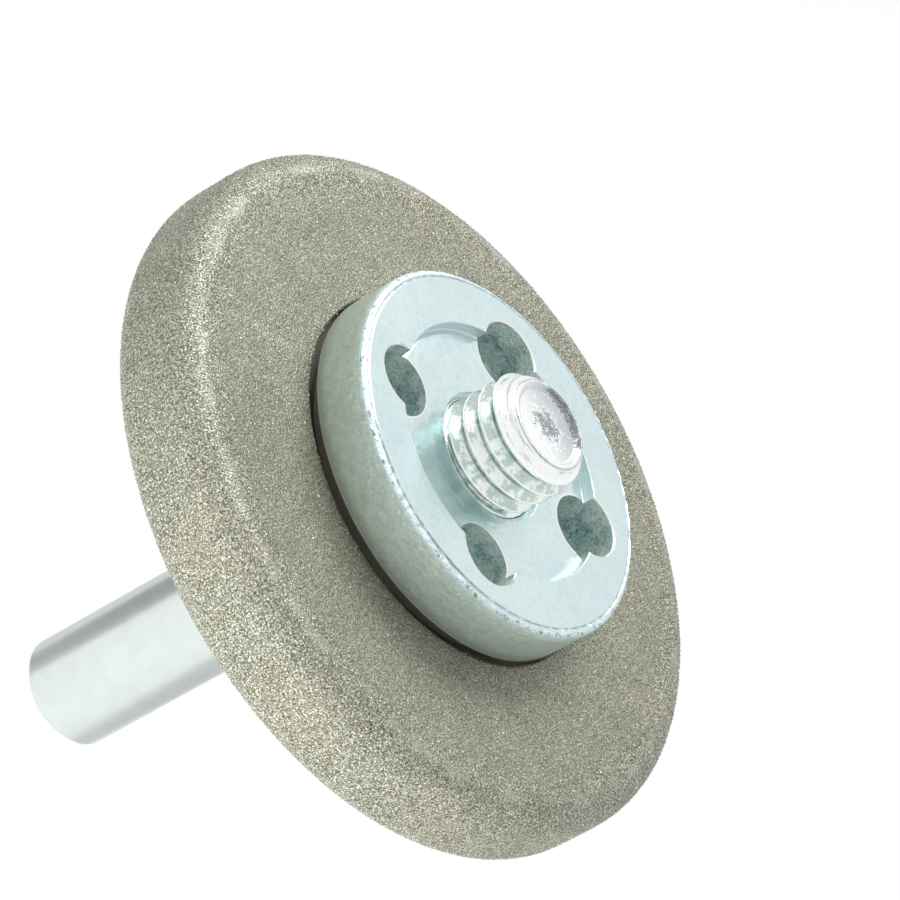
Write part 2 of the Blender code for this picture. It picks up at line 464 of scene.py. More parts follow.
def grit_bond_finish():
    """The metal that holds the crystals: olive grey grains, harsher on the rim than on the rubbed face, with
    painted shade between the grains, painted glints on their tops and a painted highlight ring along the
    front corner.
    """
    coat = Finish("grit_bond")
    grains = coat.cells(GRAIN_SIZE)
    tone = coat.noise(GRAIN_TONE_SIZE, detail=2.0, roughness=0.6)
    clouds = coat.step(coat.noise(size=0.0045, detail=4.0, roughness=0.6), 0.35, 0.68)
    rubbed = coat.step(coat.radius, RUBBED_END_RADIUS, RUBBED_RADIUS) * 0.35
    grain_tone = tone + 0.22 * (0.45 - grains)
    grain_tone = grain_tone * (1.0 - rubbed) + 0.50 * rubbed
    # Below the first step the gaps between grains are painted dark as shade, and above the second the grain
    # tops are painted pale as glints, over a random grain tone.
    shade = coat.step(grain_tone, 0.30, 0.49)
    pale_grain_glint = coat.step(grain_tone, 0.49, 0.67)
    middle = coat.blend(clouds, (0.255, 0.262, 0.192), (0.305, 0.314, 0.24))
    warm = coat.step(coat.noise(size=0.00035, detail=2.0), 0.60, 0.75)
    stains = coat.step(coat.noise(size=0.0075, detail=3.0), 0.50, 0.68)
    middle = coat.blend(stains * 0.55, middle, (0.345, 0.318, 0.228))
    middle = coat.blend(warm * 0.5, middle, (0.42, 0.365, 0.26))
    # Pale colours of the glints painted on the grain tops.
    glint_hue = coat.step(coat.noise(size=0.0005, detail=2.0), 0.42, 0.58)
    glint_colour = coat.blend(glint_hue, (0.89, 0.84, 0.72), (0.80, 0.83, 0.73))
    colour = coat.blend(shade, (0.088, 0.088, 0.064), middle)
    colour = coat.blend(pale_grain_glint, colour, glint_colour)
    lumps = coat.bump(1.0 - grains + 0.5 * tone, depth=0.00005)
    # A pale ring along the front corner is a painted highlight. The scuff joined to it below is real wear,
    # and the two share the pale colour and the lower roughness.
    inside = coat.step(coat.radius, HIGHLIGHT_RING_RADIUS - HIGHLIGHT_RING_WIDTH, HIGHLIGHT_RING_RADIUS)
    outside = coat.step(coat.radius, HIGHLIGHT_RING_RADIUS + HIGHLIGHT_RING_WIDTH, HIGHLIGHT_RING_RADIUS)
    near_face = coat.step(coat.z, WHEEL_FACE - 2 * HIGHLIGHT_RING_DEPTH, WHEEL_FACE - HIGHLIGHT_RING_DEPTH)
    worn = inside * outside * near_face
    worn = worn * coat.step(coat.noise(size=0.0030, detail=4.0), 0.40, 0.70)
    scuff = (SCUFF_END - SCUFF_START).length
    way = (SCUFF_END - SCUFF_START) / scuff
    along = (coat.x - SCUFF_START.x) * way.x + (coat.y - SCUFF_START.y) * way.y
    across = abs((coat.y - SCUFF_START.y) * way.x - (coat.x - SCUFF_START.x) * way.y)
    scuffed = coat.step(across, SCUFF_WIDTH, 0.0) * coat.step(tone, 0.38, 0.58)
    scuffed = scuffed * coat.step(along, 0.0, scuff / 4) * coat.step(along, scuff, scuff * 0.8)
    worn = coat.maths("MAXIMUM", worn, scuffed)
    return coat.surface(
        Base_Color=coat.blend(worn * 0.4, colour, (0.74, 0.73, 0.65)),
        Metallic=0.4,
        Roughness=0.5 - 0.20 * pale_grain_glint - 0.1 * worn,
        Normal=lumps,
    )


def crystal_finish():
    """Crystals of mixed grades, from dark and amber to grey and nearly clear, each dusted unevenly."""
    crystal = Finish("grit_crystals")
    grade = crystal.add("ShaderNodeAttribute", {"attribute_name": "grade"}, output="Fac")
    tone = crystal.add(
        "ShaderNodeValToRGB",
        {
            "stops": (
                (0.0, (0.22, 0.225, 0.165)),
                (0.25, (0.34, 0.345, 0.27)),
                (0.30, (0.52, 0.46, 0.34)),
                (0.36, (0.44, 0.445, 0.36)),
                (0.75, (0.50, 0.51, 0.42)),
                (1.0, (0.70, 0.70, 0.61)),
            )
        },
        {"Fac": grade},
    )
    dust = crystal.noise(size=0.004, detail=3.0)
    return crystal.surface(
        Base_Color=crystal.blend(dust * 0.3, tone, (0.36, 0.365, 0.29)),
        Metallic=0.3,
        Roughness=0.16 + 0.3 * dust,
    )


def bare_steel_finish():
    """The uncoated middle of the wheel, turned, and towards the front, in the recess under the nut, duller
    and painted darker as shade.
    """
    metal = Finish("wheel_bare_steel")
    rings = metal.rings(scale=1400.0, distortion=1.5)
    drift = metal.noise(size=0.003, detail=3.0)
    # Towards the front, in the recess under the nut, the steel is painted darker as shade and made duller.
    recess_shade = metal.step(metal.z, WHEEL_BACK + RECESS_SHADE_HEIGHT, WHEEL_BACK + 2 * RECESS_SHADE_HEIGHT)
    clean = metal.blend(drift, (0.44, 0.46, 0.44), (0.56, 0.58, 0.55))
    shaded_steel = metal.blend(drift, (0.26, 0.25, 0.205), (0.44, 0.42, 0.35))
    return metal.surface(
        Base_Color=metal.blend(recess_shade, clean, shaded_steel),
        Metallic=0.9 - 0.7 * recess_shade,
        Roughness=0.28 + 0.12 * drift + 0.2 * recess_shade,
        Normal=metal.bump(rings, depth=0.000004),
    )


def flange_finish():
    """Plain bluish plating with turning rings and a few scuffs."""
    plate = Finish("flange_zinc")
    rings = plate.rings(scale=900.0, distortion=2.0)
    drift = plate.noise(size=0.004, detail=4.0, roughness=0.6)
    scuffs = plate.step(plate.noise(size=0.0009, detail=4.0, roughness=0.7), 0.56, 0.66)
    colour = plate.blend(drift, (0.52, 0.62, 0.61), (0.64, 0.74, 0.73))
    return plate.surface(
        Base_Color=plate.blend(scuffs * 0.5, colour, (0.80, 0.84, 0.82)),
        Metallic=0.9,
        Roughness=0.24 + 0.12 * drift,
        Normal=plate.bump(rings * 0.3 + scuffs * 0.2, depth=0.00001),
    )


def zinc_finish():
    """Bluish white plating on the nut: satin faces, a mottled side and a bright worn edge, with a painted
    highlight on each pin hole's lip, painted shade along the dip inside the edge and painted shade towards
    the foot of the side.
    """
    zinc = Finish("nut_zinc")
    drift = zinc.noise(size=0.004, detail=4.0, roughness=0.6)
    fine = zinc.noise(size=0.0006, detail=3.0)
    specks = zinc.step(zinc.cells(size=0.0011), 0.07, 0.02) * zinc.step(drift, 0.50, 0.62)
    edge = zinc.step(zinc.radius, NUT_RADIUS - NUT_EDGE_WIDTH, NUT_RADIUS - NUT_EDGE_WIDTH / 2)
    side = zinc.step(zinc.radius, NUT_RADIUS - NUT_SOFT_EDGE, NUT_RADIUS - NUT_SOFT_EDGE / 6)
    disc = zinc.step(zinc.radius, NUT_MIDDLE_RADIUS - NUT_GROOVE_BEVEL, NUT_MIDDLE_RADIUS - NUT_RIPPLE_INSET)
    wall = zinc.step(zinc.z, NUT_FACE - NUT_MIDDLE_DEPTH, NUT_FACE - NUT_MIDDLE_DEPTH + NUT_FADE)
    wall = wall * zinc.step(zinc.z, NUT_FACE - NUT_SOFT_EDGE / 2, NUT_FACE - NUT_SOFT_EDGE)
    across = zinc.maths("MAXIMUM", abs(zinc.x), abs(zinc.y)) - PIN_CIRCLE_RADIUS
    along = zinc.maths("MINIMUM", abs(zinc.x), abs(zinc.y))
    from_hole = (across * across + along * along) ** 0.5
    lip_radius = PIN_HOLE_RADIUS + PIN_HOLE_LIP
    # The pale lip round each pin hole is a painted highlight.
    lip = zinc.step(from_hole, lip_radius + PIN_HOLE_HIGHLIGHT_FADE, lip_radius)
    rubbed = zinc.step(from_hole, PIN_HOLE_RADIUS + PIN_HOLE_RUBBED_WIDTH, lip_radius)
    stains = zinc.step(zinc.noise(size=0.0025, detail=3.0, roughness=0.7), 0.55, 0.75)
    mottle = zinc.noise(size=0.0007, detail=3.0, roughness=0.65)
    nicks = zinc.step(zinc.noise(size=0.0006, detail=4.0, roughness=0.7), 0.52, 0.66) * (edge - side)
    inner = NUT_RADIUS - NUT_EDGE_WIDTH - NUT_BURR_WIDTH
    # A patchy dark line along the dip inside the worn edge is painted shade.
    dip = zinc.step(zinc.radius, inner, inner + NUT_FADE)
    dip = dip * zinc.step(zinc.radius, inner + NUT_DIP_WIDTH + NUT_FADE, inner + NUT_DIP_WIDTH)
    face_colour = zinc.blend(drift, (0.59, 0.73, 0.75), (0.69, 0.81, 0.81))
    speckle = zinc.step(zinc.noise(size=0.00045, detail=4.0, roughness=0.7), 0.48, 0.66)
    face_colour = zinc.blend(speckle * 0.35, face_colour, (0.52, 0.60, 0.64))
    face_colour = zinc.blend(stains * 0.45, face_colour, (0.68, 0.67, 0.72))
    face_colour = zinc.blend(rubbed * 0.25, face_colour, (0.74, 0.72, 0.68))
    face_colour = zinc.blend(lip * 0.8, face_colour, (0.84, 0.88, 0.85))
    side_colour = zinc.blend(mottle, (0.42, 0.52, 0.47), (0.74, 0.84, 0.78))
    rim_back = NUT_FACE - NUT_RIM_HEIGHT
    # Towards its foot, beside the wheel, the side is painted darker as shade, and the seat below the rim is
    # dull olive grey.
    foot_shade = zinc.step(zinc.z, rim_back + NUT_FOOT_SHADE_HEIGHT, rim_back)
    flecks = zinc.step(zinc.noise(size=0.00025, detail=2.0), 0.60, 0.68)
    flecks = flecks * zinc.step(zinc.z, NUT_FACE - NUT_FLECKS_LOW, NUT_FACE - NUT_FLECKS_TOP)
    slanted = zinc.vector(zinc.x - 0.6 * zinc.z, zinc.y + 0.6 * zinc.z, zinc.z * 0.15)
    dashes = zinc.step(zinc.cells(size=0.0030, place=slanted), 0.035, 0.015)
    side_colour = zinc.blend(flecks * 0.6, side_colour, (0.92, 0.96, 0.92))
    side_colour = zinc.blend(dashes, side_colour, (0.97, 0.98, 0.96))
    # Painted shade towards the foot of the side.
    side_colour = zinc.blend(foot_shade * 0.6, side_colour, (0.25, 0.29, 0.25))
    colour = zinc.blend(side, face_colour, side_colour)
    covered = zinc.step(foot_shade, 0.9, 1.0)
    colour = zinc.blend(covered, colour, (0.50, 0.50, 0.43))
    colour = zinc.blend(wall * 0.9 * (1.0 - edge), colour, (0.66, 0.76, 0.76))
    colour = zinc.blend(specks, colour, (0.34, 0.40, 0.42))
    colour = zinc.blend(nicks * 0.7, colour, (0.18, 0.21, 0.21))
    # Painted shade along the dip.
    colour = zinc.blend(dip * zinc.step(mottle, 0.35, 0.55) * 0.7, colour, (0.24, 0.29, 0.31))
    ragged = zinc.noise(size=0.00035, detail=3.0, roughness=0.6) * (edge - side)
    ripple = zinc.noise(size=0.0013, detail=2.0) * disc
    relief = fine * 0.5 + drift - specks * 0.4 + mottle * side * 1.5 + ragged * 5.0 + ripple * 1.8
    return zinc.surface(
        Base_Color=colour,
        Metallic=0.95 - 0.10 * side - 0.75 * covered,
        Roughness=0.20 + 0.10 * drift + 0.14 * edge + 0.25 * nicks + 0.10 * side + 0.24 * wall,
        Normal=zinc.bump(relief, depth=0.00004),
    )


def cast_hole_finish():
    """The rough cast walls of the pin holes and of the nut's bore, painted pale near the face as light and
    darker deeper down as shade.
    """
    cast = Finish("nut_cast_holes")
    lumps = cast.step(cast.noise(size=0.00027, detail=3.0, roughness=0.60), 0.28, 0.68)
    drift = cast.step(cast.noise(size=0.0016, detail=2.0), 0.42, 0.58)
    # Near the face the walls are painted pale as light, and deeper down they stay darker as painted shade,
    # over a random drift of tone.
    lit_top = cast.step(cast.z, NUT_FACE - 2 * PIN_HOLE_LIT_DEPTH, NUT_FACE - PIN_HOLE_LIT_DEPTH)
    dark_colour = cast.blend(lumps, (0.20, 0.33, 0.33), (0.60, 0.76, 0.75))
    pale_colour = cast.blend(lumps, (0.66, 0.80, 0.75), (0.94, 0.98, 0.93))
    share = drift * 0.75 + lit_top * 0.5
    return cast.surface(
        Base_Color=cast.blend(share, dark_colour, pale_colour),
        Metallic=0.30,
        Roughness=0.26 + 0.2 * lumps,
        Normal=cast.bump(lumps, depth=0.00006),
    )


def thread_finish():
    """Rolled and plated thread with dents and streaks, crests painted pale as highlights, roots painted
    darker as shade and flanks with teal and yellowish patches painted as reflections, and an end pitted in
    its middle, painted darker towards one side and in a crescent by its dish as shade.
    """
    metal = Finish("thread_zinc")
    rise = metal.add("ShaderNodeAttribute", {"attribute_name": "rise"}, output="Fac")
    drift = metal.noise(size=0.0025, detail=3.0)
    fine = metal.noise(size=0.0003, detail=2.0)
    dents = metal.step(metal.cells(size=0.0013), 0.15, 0.05) * metal.step(drift, 0.45, 0.60)
    turned = metal.vector(metal.x * 0.4, metal.y * 0.4, metal.z * 4.0)
    streaks = metal.noise(size=0.0010, detail=4.0, roughness=0.7, place=turned)
    end = metal.step(metal.radius, END_FLAT_RADIUS, END_FLAT_RADIUS - END_FADE)
    end = end * metal.step(metal.z, STUD_TOP - END_DEPTH - END_FADE, STUD_TOP - END_DEPTH)
    # The thread's roots are painted darker as shade.
    root = metal.step(rise, 0.10, 0.0) * metal.step(metal.radius, *ROOT_SHADE_RADII)
    # The crests are painted pale as highlights, and the dark nicks keep off them.
    crest_highlight = metal.step(rise, 0.84, 0.94)
    blotches = metal.noise(size=0.0006, detail=6.0, roughness=0.8)
    middle = metal.step(metal.radius, *END_PIT_RADII)
    # Towards one side of the end a crescent by its dish is painted dark as shade, and it joins the real
    # pits.
    toward_shade = metal.x * math.cos(END_SHADE_TURN) + metal.y * math.sin(END_SHADE_TURN)
    shade_crescent = metal.step(toward_shade, *END_SHADE_SPAN) * metal.step(metal.radius, *END_SHADE_RADII)
    pits_and_shade = metal.step(blotches + 0.20 * middle + 0.34 * shade_crescent, 0.58, 0.86) * end
    chamfer = STUD_TOP + END_FLAT_RADIUS
    cone = metal.step(metal.z + metal.radius, chamfer - CHAMFER_FADE, chamfer)
    lengthwise = metal.vector(metal.x, metal.y, metal.z * 0.3)
    # Teal patches on the flanks are painted reflections of dark surroundings.
    flank_reflection = metal.noise(size=0.0012, detail=5.0, roughness=0.65, place=lengthwise)
    flank_reflection = metal.step(flank_reflection, 0.42, 0.56) * (1.0 - 0.7 * cone)
    tint = metal.blend(flank_reflection, (0.84, 0.90, 0.90), (0.38, 0.52, 0.52))
    # The yellowish drift is a painted reflection of the olive wheel.
    tint = metal.blend(drift * 0.5, tint, (0.80, 0.84, 0.70))
    tint = metal.blend(cone * 0.7, tint, (0.96, 0.97, 0.96))
    nicks = metal.step(streaks + 0.06 * cone, 0.60, 0.70) * (1.0 - crest_highlight)
    tint = metal.blend(nicks * 0.65, tint, (0.34, 0.38, 0.39))
    # Painted highlight on the crests.
    tint = metal.blend(crest_highlight, tint, (0.95, 0.96, 0.95))
    # Painted shade in the roots.
    tint = metal.blend(root * 0.4, tint, (0.30, 0.34, 0.34))
    ring = metal.step(metal.radius, END_FLAT_RADIUS - END_RING_FADE, END_FLAT_RADIUS)
    ring_end = END_FLAT_RADIUS + END_RING_WIDTH
    ring = ring * metal.step(metal.radius, ring_end + END_RING_FADE, ring_end)
    # The end is painted lighter on one side and darker towards the other, as painted light and shade.
    end_shading = metal.step(toward_shade, *END_SHADE_GRADIENT)
    end_light_and_shade = metal.blend(end_shading, (0.94, 0.96, 0.95), (0.53, 0.56, 0.59))
    tint = metal.blend(end, tint, end_light_and_shade)
    tint = metal.blend(ring * cone * 0.6, tint, (0.30, 0.33, 0.35))
    relief = drift * 0.6 + fine * 0.3 - dents * 0.8 - pits_and_shade * 1.2 + streaks * 0.8
    return metal.surface(
        Base_Color=metal.blend(pits_and_shade * 0.9, tint, (0.16, 0.17, 0.19)),
        Metallic=0.95,
        Roughness=0.10 + 0.10 * fine + 0.12 * end,
        Normal=metal.bump(relief, depth=0.00005),
    )


def shank_finish():
    """Ground and plated shank, satin along its length."""
    metal = Finish("shank_steel")
    drift = metal.noise(size=0.005, detail=3.0)
    fine = metal.noise(size=0.0002, detail=2.0)
    clouds = metal.step(metal.noise(size=0.0020, detail=5.0, roughness=0.6), 0.38, 0.72)
    tint = metal.blend(drift, (0.73, 0.81, 0.81), (0.81, 0.86, 0.83))
    return metal.surface(
        Base_Color=metal.blend(clouds * 0.5, tint, (0.70, 0.75, 0.74)),
        Metallic=0.95,
        Roughness=0.21 + 0.08 * fine,
        Normal=metal.bump(drift + fine * 0.1, depth=0.00002),
    )


def wheel_outline():
    """The wheel's section, a crystal's height inside its coated surface."""
    radius = WHEEL_RADIUS - GRIT_HEIGHT
    face = WHEEL_FACE - GRIT_HEIGHT
    back = WHEEL_BACK + GRIT_HEIGHT
    floor = WHEEL_FACE - RECESS_DEPTH
    return rounded_outline([
        (WHEEL_BORE_RADIUS, floor, WHEEL_BORE_EDGE),
        (RECESS_RADIUS, floor, 0.0),
        (RECESS_RADIUS, face, RECESS_EDGE),
        (radius, face, WHEEL_FACE_CORNER),
        (radius, back, WHEEL_BACK_CORNER),
        (COATED_BACK_RADIUS, back, 0.0),
        (WHEEL_BORE_RADIUS, back, WHEEL_BORE_EDGE),
    ])


def coated(point):
    """Whether a point of the wheel's section carries grit."""
    radius, height = point
    if height < WHEEL_FACE - RECESS_DEPTH / 2 and radius < COATED_BACK_RADIUS:
        return False
    return radius > RECESS_RADIUS


def make_wheel(bond, bare):
    """The steel disc, coated where it grinds and bare in its middle."""
    outline = wheel_outline()
    wheel = piece_from(turned_shape(outline, TURNED_STEPS), "wheel_body", bond, bare)
    for face in wheel.data.polygons:
        middle = face.center
        face.material_index = 0 if coated((middle.xy.length, middle.z)) else 1
    fit_piece(even_normals(wheel), "abrasive_coating", "grinding_wheel")


def new_tree(name, inputs, result):
    """An empty tree that makes geometry, with its inputs named."""
    tree = bpy.data.node_groups.new(name, "GeometryNodeTree")
    for title, kind in inputs:
        tree.interface.new_socket(title, in_out="INPUT", socket_type="NodeSocket" + kind)
    tree.interface.new_socket(result, in_out="OUTPUT", socket_type="NodeSocketGeometry")
    return Graph(tree)


def end_tree(graph, geometry, finish, result):
    """Ends a tree with plain geometry that carries a finish."""
    geometry = graph.add("GeometryNodeRealizeInstances", sockets={"Geometry": geometry})
    geometry = graph.add("GeometryNodeSetMaterial", sockets={"Geometry": geometry, "Material": finish})
    graph.add("NodeGroupOutput", sockets={result: geometry})
    return graph.tree


def crystal_tree():
    """Crystals scattered over a surface, each turned, sized and graded at random."""
    inputs = (
        ("Surface", "Geometry"),
        ("Spacing", "Float"),
        ("Crowd", "Float"),
        ("Smallest", "Float"),
        ("Largest", "Float"),
        ("Seed", "Int"),
        ("Finish", "Material"),
    )
    graph = new_tree("grit_crystals", inputs, "Crystals")
    given = graph.add("NodeGroupInput")
    points = graph.add(
        "GeometryNodeDistributePointsOnFaces",
        {"distribute_method": "POISSON"},
        {
            "Mesh": given,
            "Distance Min": given.output("Spacing"),
            "Density Max": given.output("Crowd"),
            "Seed": given.output("Seed"),
        },
    )
    height = math.sqrt(2.0)
    crystal = graph.add(
        "GeometryNodeMeshCone",
        sockets={"Vertices": 3, "Radius Top": 0.0, "Radius Bottom": 1.0, "Depth": height},
    )
    crystal = graph.add(
        "GeometryNodeTransform",
        sockets={"Geometry": crystal, "Translation": (0.0, 0.0, -height / 4)},
    )
    turn = graph.add(
        "FunctionNodeRandomValue",
        {"data_type": "FLOAT_VECTOR"},
        {0: (0.0, 0.0, 0.0), 1: (math.tau, math.tau, math.tau), "Seed": given.output("Seed")},
    )
    size = graph.add(
        "FunctionNodeRandomValue",
        {"data_type": "FLOAT"},
        {2: given.output("Smallest"), 3: given.output("Largest"), "Seed": given.output("Seed")},
        "Value_001",
    )
    crystals = graph.add(
        "GeometryNodeInstanceOnPoints",
        sockets={"Points": points, "Instance": crystal, "Rotation": turn, "Scale": size},
    )
    grade = graph.add(
        "FunctionNodeRandomValue", {"data_type": "FLOAT"}, {"Seed": GRADE_SEED}, "Value_001"
    )
    crystals = graph.add(
        "GeometryNodeStoreNamedAttribute",
        {"data_type": "FLOAT", "domain": "INSTANCE"},
        {"Geometry": crystals, "Name": "grade", "Value": grade},
    )
    return end_tree(graph, crystals, given.output("Finish"), "Crystals")


def set_inputs(modifier, values):
    """Sets a tree's inputs by the identifiers of its named sockets."""
    for item in modifier.node_group.interface.items_tree:
        if item.in_out == "INPUT" and item.name in values:
            modifier[item.identifier] = values[item.name]


def make_grit(name, tree, finish, wanted, seed):
    """A coat of crystals on the part of the wheel's section that is wanted."""
    outline = wheel_outline()
    pairs = []
    for index, point in enumerate(outline):
        ahead = (index + 1) % len(outline)
        middle = (point + outline[ahead]) / 2
        if coated(middle) and wanted(middle):
            pairs.append((index, ahead))
    grit = piece_from(swept_bands(outline, pairs, TURNED_STEPS), name)
    scatter = grit.modifiers.new("scatter", "NODES")
    scatter.node_group = tree
    set_inputs(scatter, {
        "Spacing": CRYSTAL_SPACING,
        "Crowd": CRYSTAL_CROWD,
        "Smallest": SMALLEST_CRYSTAL,
        "Largest": LARGEST_CRYSTAL,
        "Seed": seed,
        "Finish": finish,
    })
    fit_piece(settle(grit), "abrasive_coating")


def make_grit_coats():
    """The crystals, in four coats that meet on the wheel: face, corner, rim and back."""
    tree = crystal_tree()
    finish = crystal_finish()
    corner = WHEEL_RADIUS - WHEEL_FACE_CORNER
    waist = (WHEEL_FACE - WHEEL_FACE_CORNER + WHEEL_BACK + WHEEL_BACK_CORNER) / 2
    rim_top = WHEEL_BACK + RIM_COAT_HEIGHT
    coats = (
        ("grit_face", lambda at: at.x < corner and at.y > waist),
        ("grit_corner", lambda at: at.x >= corner and at.y > rim_top),
        ("grit_rim", lambda at: at.x >= corner and at.y <= rim_top),
        ("grit_back", lambda at: at.x < corner and at.y <= waist),
    )
    for seed, (name, wanted) in enumerate(coats, start=FIRST_SEED):
        make_grit(name, tree, finish, wanted, seed)


def pin_hole_cutter(angle):
    """A blind hole with a softened floor and a small lip at the nut's face."""
    above = NUT_FACE + PIN_HOLE_RADIUS
    outline = rounded_outline([
        (0.0, NUT_FACE - PIN_HOLE_DEPTH, 0.0),
        (PIN_HOLE_RADIUS, NUT_FACE - PIN_HOLE_DEPTH, PIN_HOLE_FLOOR_EDGE),
        (PIN_HOLE_RADIUS, NUT_FACE - PIN_HOLE_LIP, 0.0),
        (PIN_HOLE_RADIUS + PIN_HOLE_LIP, NUT_FACE, 0.0),
        (2 * PIN_HOLE_RADIUS + PIN_HOLE_LIP, above, 0.0),
        (0.0, above, 0.0),
    ])
    hole = turned_shape(outline, PIN_HOLE_STEPS, closed=False)
    middle = (PIN_CIRCLE_RADIUS * math.cos(angle), PIN_CIRCLE_RADIUS * math.sin(angle), 0.0)
    bmesh.ops.translate(hole, verts=hole.verts, vec=middle)
    return piece_from(hole, "pin_hole_cutter")


def nut_outline():
    """The nut's section, from its countersink out over the rim and back along its seat."""
    disc = NUT_FACE - NUT_MIDDLE_DEPTH
    rim_back = NUT_FACE - NUT_RIM_HEIGHT
    burr = NUT_RADIUS - NUT_EDGE_WIDTH
    soft = NUT_SOFT_EDGE
    return rounded_outline([
        (NUT_BORE_RADIUS, disc - NUT_COUNTERSINK, soft),
        (NUT_BORE_RADIUS + NUT_COUNTERSINK, disc, soft),
        (NUT_MIDDLE_RADIUS - NUT_GROOVE_BEVEL, disc, soft),
        (NUT_MIDDLE_RADIUS - NUT_GROOVE_FLOOR, disc - NUT_GROOVE_DEPTH, soft / 2),
        (NUT_MIDDLE_RADIUS, NUT_FACE, soft),
        (burr - NUT_BURR_WIDTH, NUT_FACE, soft / 2),
        (burr - NUT_BURR_WIDTH / 2, NUT_FACE - NUT_BURR_DIP, soft / 4),
        (burr, NUT_FACE, soft / 4),
        (NUT_RADIUS, NUT_FACE - NUT_EDGE_DEPTH, soft),
        (NUT_RADIUS, rim_back, soft),
        (NUT_SEAT_RADIUS, rim_back, 0.0),
        (NUT_SEAT_RADIUS, NUT_BACK, soft),
        (NUT_BORE_RADIUS, NUT_BACK, soft),
    ])


def make_nut(zinc, cast):
    """The lock nut, with a ragged worn edge and blind pin holes."""
    shape = turned_shape(nut_outline(), NUT_STEPS)
    for point in shape.verts:
        on_edge = point.co.xy.length > NUT_RADIUS - NUT_EDGE_WIDTH - NUT_BURR_WIDTH / 4
        if on_edge and NUT_FACE - 2 * NUT_EDGE_DEPTH < point.co.z:
            point.co.z -= NUT_BURR_RAGGED * (0.5 + noise.noise(point.co / NUT_BURR_LUMPS))
    nut = piece_from(shape, "nut_body", zinc, cast)
    angles = [math.tau * index / PIN_HOLE_COUNT for index in range(PIN_HOLE_COUNT)]
    cutters = [pin_hole_cutter(angle) for angle in angles]
    for cutter in cutters:
        hole = nut.modifiers.new(cutter.name, "BOOLEAN")
        hole.operation = "DIFFERENCE"
        hole.solver = "EXACT"
        hole.object = cutter
    settle(nut)
    for cutter in cutters:
        bpy.data.objects.remove(cutter)
    centres = [PIN_CIRCLE_RADIUS * Vector((math.cos(angle), math.sin(angle))) for angle in angles]
    for face in nut.data.polygons:
        in_hole = min((face.center.xy - centre).length for centre in centres) < PIN_HOLE_RADIUS + WELD
        in_bore = face.center.xy.length < NUT_BORE_RADIUS + WELD
        face.material_index = 1 if in_hole or in_bore else 0
    nut.data.set_sharp_from_angle(angle=SHARP_ANGLE)
    fit_piece(even_normals(nut), "zinc_plating", "lock_nut")


def thread_tree():
    """A rolled thread wound from a grid: one way runs round the axis and the other climbs it.

    Up to the covered height the grooves are full, as the nut's own thread fills them there.
    Rows below the thread's start and above its end are held there, the first row closes the bottom at the
    axis, and the last ones close the top as a shallow dish.
    """
    inputs = (
        ("Crest Radius", "Float"),
        ("Depth", "Float"),
        ("Pitch", "Float"),
        ("Start", "Float"),
        ("Covered", "Float"),
        ("Top", "Float"),
        ("End Radius", "Float"),
        ("Turns", "Int"),
        ("Steps", "Int"),
        ("Rows", "Int"),
        ("End Rows", "Int"),
        ("Finish", "Material"),
    )
    graph = new_tree("rolled_thread", inputs, "Thread")
    given = graph.add("NodeGroupInput")
    rows_in_turns = given.output("Turns") * given.output("Rows")
    all_rows = rows_in_turns + given.output("End Rows") + 1
    grid = graph.add(
        "GeometryNodeMeshGrid",
        sockets={
            "Size X": 1.0,
            "Size Y": 1.0,
            "Vertices X": given.output("Steps") + 1,
            "Vertices Y": all_rows + 1,
        },
    )
    place = graph.add("GeometryNodeInputPosition")
    across = graph.add("ShaderNodeSeparateXYZ", sockets={"Vector": place})
    around = across.output("X") + 0.5
    row = graph.maths("ROUND", (across.output("Y") + 0.5) * all_rows) - 1
    climb = graph.maths("MINIMUM", graph.maths("MAXIMUM", row, 0.0), rows_in_turns)
    climb = climb / given.output("Rows") - 1.0
    height = given.output("Start") + given.output("Pitch") * (climb + around)
    height = graph.maths("MAXIMUM", height, given.output("Start"))
    height = graph.maths("MINIMUM", height, given.output("Top"))

    from_crest = abs(graph.maths("FRACT", climb + 1.0 - THREAD_ROOT_SHARE / 2) * 2.0 - 1.0)
    flank = 1.0 - THREAD_ROOT_SHARE - THREAD_CREST_SHARE
    profile = 1.0 - (from_crest - THREAD_CREST_SHARE) / flank
    profile = graph.maths("SMOOTH_MAX", profile, 0.0, ROOT_ROUNDING)
    profile = graph.maths("SMOOTH_MIN", profile, 1.0, CREST_ROUNDING)
    covered = given.output("Covered")
    covered = graph.step(height, covered + THREAD_COVER_FADE, covered)
    profile = graph.maths("MAXIMUM", profile, covered)
    started = graph.maths("GREATER_THAN", height, given.output("Start") + WELD)
    root = given.output("Crest Radius") - given.output("Depth")
    radius = root + given.output("Depth") * profile * started
    cone = given.output("End Radius") + given.output("Top") - height
    radius = graph.maths("SMOOTH_MIN", radius, cone + END_ROUNDING / 6, END_ROUNDING)
    radius = graph.maths("MINIMUM", radius, cone)

    closing = graph.maths("MAXIMUM", row - rows_in_turns, 0.0) / given.output("End Rows")
    opening = graph.maths("MINIMUM", row + 1.0, 1.0)
    radius = radius * (1.0 - closing) * opening
    inward = given.output("End Radius") * closing
    dish = graph.step(inward, END_LIP, END_LIP + END_DISH_WALL) * END_DISH_DEPTH
    height = height - dish

    angle = around * math.tau
    wound = graph.vector(
        radius * graph.maths("COSINE", angle), radius * graph.maths("SINE", angle), height
    )
    grid = graph.add(
        "GeometryNodeStoreNamedAttribute",
        {"data_type": "FLOAT", "domain": "POINT"},
        {"Geometry": grid, "Name": "rise", "Value": profile},
    )
    thread = graph.add("GeometryNodeSetPosition", sockets={"Geometry": grid, "Position": wound})
    thread = graph.add(
        "GeometryNodeMergeByDistance", sockets={"Geometry": thread, "Distance": WELD * 2}
    )
    thread = graph.add("GeometryNodeSetShadeSmooth", sockets={"Geometry": thread})
    return end_tree(graph, thread, given.output("Finish"), "Thread")


